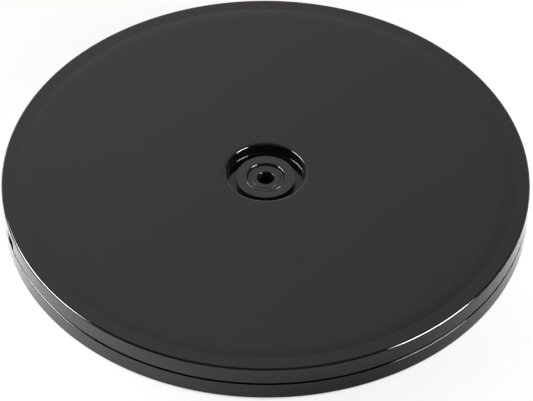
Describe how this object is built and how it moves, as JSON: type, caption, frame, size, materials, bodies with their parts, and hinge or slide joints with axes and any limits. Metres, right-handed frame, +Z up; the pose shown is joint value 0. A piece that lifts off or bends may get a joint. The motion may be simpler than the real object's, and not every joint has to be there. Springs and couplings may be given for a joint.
{
  "type": "turntable display stand",
  "caption": "Low round turntable: a flat top plate with a sunken centre hub turns on a ring of balls over a matching base with rubber feet.",
  "frame": {"origin": "on the surface that the stand rests on, below the centre of the turning axis", "axes": "+Z up along the turning axis; -Y towards the picture's camera; +X to the picture's right"},
  "size_m": [0.254, 0.254, 0.0203],
  "materials": {
    "black_plastic": "moulded black plastic, satin on the top face and glossy on the rims and in the hub",
    "white_nylon": "natural nylon, faintly see-through and off-white",
    "bearing_steel": "ground and polished bearing steel",
    "rubber": "matte dark grey rubber"
  },
  "bodies": {
    "base": {"base": "black_plastic", "pivot": "black_plastic", "lock_ring": "black_plastic", "thrust_washer": "white_nylon", "foot_1": "rubber", "foot_2": "rubber", "foot_3": "rubber", "foot_4": "rubber", "foot_5": "rubber", "foot_6": "rubber"},
    "platter": {"platter": "black_plastic"},
    "ball_cage": {"ball_cage": "white_nylon"},
    "ball_01": {"ball_01": "bearing_steel"},
    "ball_02": {"ball_02": "bearing_steel"},
    "ball_03": {"ball_03": "bearing_steel"},
    "ball_04": {"ball_04": "bearing_steel"},
    "ball_05": {"ball_05": "bearing_steel"},
    "ball_06": {"ball_06": "bearing_steel"},
    "ball_07": {"ball_07": "bearing_steel"},
    "ball_08": {"ball_08": "bearing_steel"},
    "ball_09": {"ball_09": "bearing_steel"},
    "ball_10": {"ball_10": "bearing_steel"},
    "ball_11": {"ball_11": "bearing_steel"},
    "ball_12": {"ball_12": "bearing_steel"},
    "ball_13": {"ball_13": "bearing_steel"},
    "ball_14": {"ball_14": "bearing_steel"},
    "ball_15": {"ball_15": "bearing_steel"},
    "ball_16": {"ball_16": "bearing_steel"},
    "ball_17": {"ball_17": "bearing_steel"},
    "ball_18": {"ball_18": "bearing_steel"},
    "ball_19": {"ball_19": "bearing_steel"},
    "ball_20": {"ball_20": "bearing_steel"},
    "ball_21": {"ball_21": "bearing_steel"},
    "ball_22": {"ball_22": "bearing_steel"},
    "ball_23": {"ball_23": "bearing_steel"},
    "ball_24": {"ball_24": "bearing_steel"}
  },
  "joints": [
    {"name": "platter_spin", "type": "hinge", "parent": "base", "child": "platter", "pos_m": [0, 0, 0.0107], "axis": [0, 0, 1], "continuous": true},
    {"name": "cage_orbit", "type": "hinge", "parent": "base", "child": "ball_cage", "pos_m": [0, 0, 0.01045], "axis": [0, 0, 1], "continuous": true},
    {"name": "ball_01_roll", "type": "hinge", "parent": "ball_cage", "child": "ball_01", "pos_m": [0.08, 0, 0.01045], "axis": [1, 0, 0], "continuous": true},
    {"name": "ball_02_roll", "type": "hinge", "parent": "ball_cage", "child": "ball_02", "pos_m": [0.07727, 0.02071, 0.01045], "axis": [0.9659, 0.2588, 0], "continuous": true},
    {"name": "ball_03_roll", "type": "hinge", "parent": "ball_cage", "child": "ball_03", "pos_m": [0.06928, 0.04, 0.01045], "axis": [0.866, 0.5, 0], "continuous": true},
    {"name": "ball_04_roll", "type": "hinge", "parent": "ball_cage", "child": "ball_04", "pos_m": [0.05657, 0.05657, 0.01045], "axis": [0.7071, 0.7071, 0], "continuous": true},
    {"name": "ball_05_roll", "type": "hinge", "parent": "ball_cage", "child": "ball_05", "pos_m": [0.04, 0.06928, 0.01045], "axis": [0.5, 0.866, 0], "continuous": true},
    {"name": "ball_06_roll", "type": "hinge", "parent": "ball_cage", "child": "ball_06", "pos_m": [0.02071, 0.07727, 0.01045], "axis": [0.2588, 0.9659, 0], "continuous": true},
    {"name": "ball_07_roll", "type": "hinge", "parent": "ball_cage", "child": "ball_07", "pos_m": [0, 0.08, 0.01045], "axis": [0, 1, 0], "continuous": true},
    {"name": "ball_08_roll", "type": "hinge", "parent": "ball_cage", "child": "ball_08", "pos_m": [-0.02071, 0.07727, 0.01045], "axis": [-0.2588, 0.9659, 0], "continuous": true},
    {"name": "ball_09_roll", "type": "hinge", "parent": "ball_cage", "child": "ball_09", "pos_m": [-0.04, 0.06928, 0.01045], "axis": [-0.5, 0.866, 0], "continuous": true},
    {"name": "ball_10_roll", "type": "hinge", "parent": "ball_cage", "child": "ball_10", "pos_m": [-0.05657, 0.05657, 0.01045], "axis": [-0.7071, 0.7071, 0], "continuous": true},
    {"name": "ball_11_roll", "type": "hinge", "parent": "ball_cage", "child": "ball_11", "pos_m": [-0.06928, 0.04, 0.01045], "axis": [-0.866, 0.5, 0], "continuous": true},
    {"name": "ball_12_roll", "type": "hinge", "parent": "ball_cage", "child": "ball_12", "pos_m": [-0.07727, 0.02071, 0.01045], "axis": [-0.9659, 0.2588, 0], "continuous": true},
    {"name": "ball_13_roll", "type": "hinge", "parent": "ball_cage", "child": "ball_13", "pos_m": [-0.08, 0, 0.01045], "axis": [-1, 0, 0], "continuous": true},
    {"name": "ball_14_roll", "type": "hinge", "parent": "ball_cage", "child": "ball_14", "pos_m": [-0.07727, -0.02071, 0.01045], "axis": [-0.9659, -0.2588, 0], "continuous": true},
    {"name": "ball_15_roll", "type": "hinge", "parent": "ball_cage", "child": "ball_15", "pos_m": [-0.06928, -0.04, 0.01045], "axis": [-0.866, -0.5, 0], "continuous": true},
    {"name": "ball_16_roll", "type": "hinge", "parent": "ball_cage", "child": "ball_16", "pos_m": [-0.05657, -0.05657, 0.01045], "axis": [-0.7071, -0.7071, 0], "continuous": true},
    {"name": "ball_17_roll", "type": "hinge", "parent": "ball_cage", "child": "ball_17", "pos_m": [-0.04, -0.06928, 0.01045], "axis": [-0.5, -0.866, 0], "continuous": true},
    {"name": "ball_18_roll", "type": "hinge", "parent": "ball_cage", "child": "ball_18", "pos_m": [-0.02071, -0.07727, 0.01045], "axis": [-0.2588, -0.9659, 0], "continuous": true},
    {"name": "ball_19_roll", "type": "hinge", "parent": "ball_cage", "child": "ball_19", "pos_m": [0, -0.08, 0.01045], "axis": [0, -1, 0], "continuous": true},
    {"name": "ball_20_roll", "type": "hinge", "parent": "ball_cage", "child": "ball_20", "pos_m": [0.02071, -0.07727, 0.01045], "axis": [0.2588, -0.9659, 0], "continuous": true},
    {"name": "ball_21_roll", "type": "hinge", "parent": "ball_cage", "child": "ball_21", "pos_m": [0.04, -0.06928, 0.01045], "axis": [0.5, -0.866, 0], "continuous": true},
    {"name": "ball_22_roll", "type": "hinge", "parent": "ball_cage", "child": "ball_22", "pos_m": [0.05657, -0.05657, 0.01045], "axis": [0.7071, -0.7071, 0], "continuous": true},
    {"name": "ball_23_roll", "type": "hinge", "parent": "ball_cage", "child": "ball_23", "pos_m": [0.06928, -0.04, 0.01045], "axis": [0.866, -0.5, 0], "continuous": true},
    {"name": "ball_24_roll", "type": "hinge", "parent": "ball_cage", "child": "ball_24", "pos_m": [0.07727, -0.02071, 0.01045], "axis": [0.9659, -0.2588, 0], "continuous": true}
  ],
  "couplings": [
    {"joint": "cage_orbit", "follows": "platter_spin", "ratio": 0.5},
    {"joint": "ball_01_roll", "follows": "platter_spin", "ratio": -12.598},
    {"joint": "ball_02_roll", "follows": "platter_spin", "ratio": -12.598},
    {"joint": "ball_03_roll", "follows": "platter_spin", "ratio": -12.598},
    {"joint": "ball_04_roll", "follows": "platter_spin", "ratio": -12.598},
    {"joint": "ball_05_roll", "follows": "platter_spin", "ratio": -12.598},
    {"joint": "ball_06_roll", "follows": "platter_spin", "ratio": -12.598},
    {"joint": "ball_07_roll", "follows": "platter_spin", "ratio": -12.598},
    {"joint": "ball_08_roll", "follows": "platter_spin", "ratio": -12.598},
    {"joint": "ball_09_roll", "follows": "platter_spin", "ratio": -12.598},
    {"joint": "ball_10_roll", "follows": "platter_spin", "ratio": -12.598},
    {"joint": "ball_11_roll", "follows": "platter_spin", "ratio": -12.598},
    {"joint": "ball_12_roll", "follows": "platter_spin", "ratio": -12.598},
    {"joint": "ball_13_roll", "follows": "platter_spin", "ratio": -12.598},
    {"joint": "ball_14_roll", "follows": "platter_spin", "ratio": -12.598},
    {"joint": "ball_15_roll", "follows": "platter_spin", "ratio": -12.598},
    {"joint": "ball_16_roll", "follows": "platter_spin", "ratio": -12.598},
    {"joint": "ball_17_roll", "follows": "platter_spin", "ratio": -12.598},
    {"joint": "ball_18_roll", "follows": "platter_spin", "ratio": -12.598},
    {"joint": "ball_19_roll", "follows": "platter_spin", "ratio": -12.598},
    {"joint": "ball_20_roll", "follows": "platter_spin", "ratio": -12.598},
    {"joint": "ball_21_roll", "follows": "platter_spin", "ratio": -12.598},
    {"joint": "ball_22_roll", "follows": "platter_spin", "ratio": -12.598},
    {"joint": "ball_23_roll", "follows": "platter_spin", "ratio": -12.598},
    {"joint": "ball_24_roll", "follows": "platter_spin", "ratio": -12.598}
  ]
}
